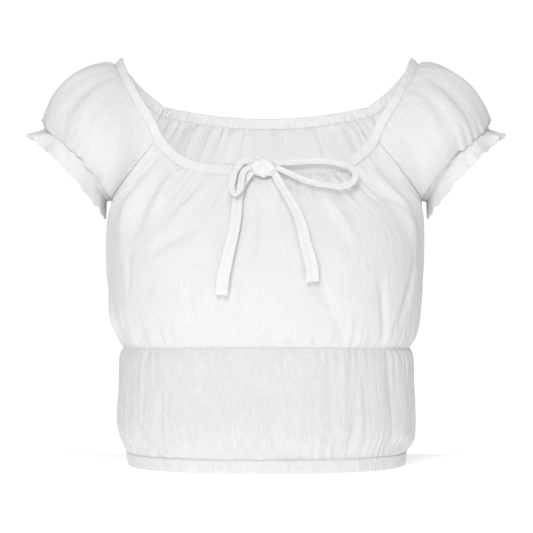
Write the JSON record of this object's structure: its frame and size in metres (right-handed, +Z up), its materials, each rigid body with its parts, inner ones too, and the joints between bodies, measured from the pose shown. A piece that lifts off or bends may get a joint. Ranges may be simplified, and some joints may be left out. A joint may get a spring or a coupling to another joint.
{
  "type": "peasant blouse",
  "caption": "Cropped peasant blouse as worn: gathered scoop neck with a tied drawstring, puffed raglan sleeves with frills, crinkled midriff and elastic hem.",
  "frame": {"origin": "middle of the shoulder line, at the height of the neck edge on the shoulders, where the wearer's shoulders hold the blouse up", "axes": "+X towards the wearer's left, -Y out of the front, +Z up"},
  "size_m": [0.4786, 0.2432, 0.4055],
  "materials": {
    "crinkle_cotton": "matte crinkled plain-weave cotton",
    "casing_cotton": "matte cotton, folded double and gathered on elastic",
    "tie_cotton": "matte cotton, folded and stitched into a flat tie"
  },
  "bodies": {
    "root": {"bodice_front": "crinkle_cotton", "bodice_back": "crinkle_cotton", "sleeve_left": "crinkle_cotton", "sleeve_right": "crinkle_cotton", "midriff_front": "crinkle_cotton", "midriff_back": "crinkle_cotton", "neck_casing": "casing_cotton", "hem_casing": "casing_cotton", "tie_knot": "tie_cotton", "tie_loop_left": "tie_cotton", "tie_loop_right": "tie_cotton", "tie_tail_left": "tie_cotton", "tie_tail_right": "tie_cotton"}
  },
  "joints": []
}
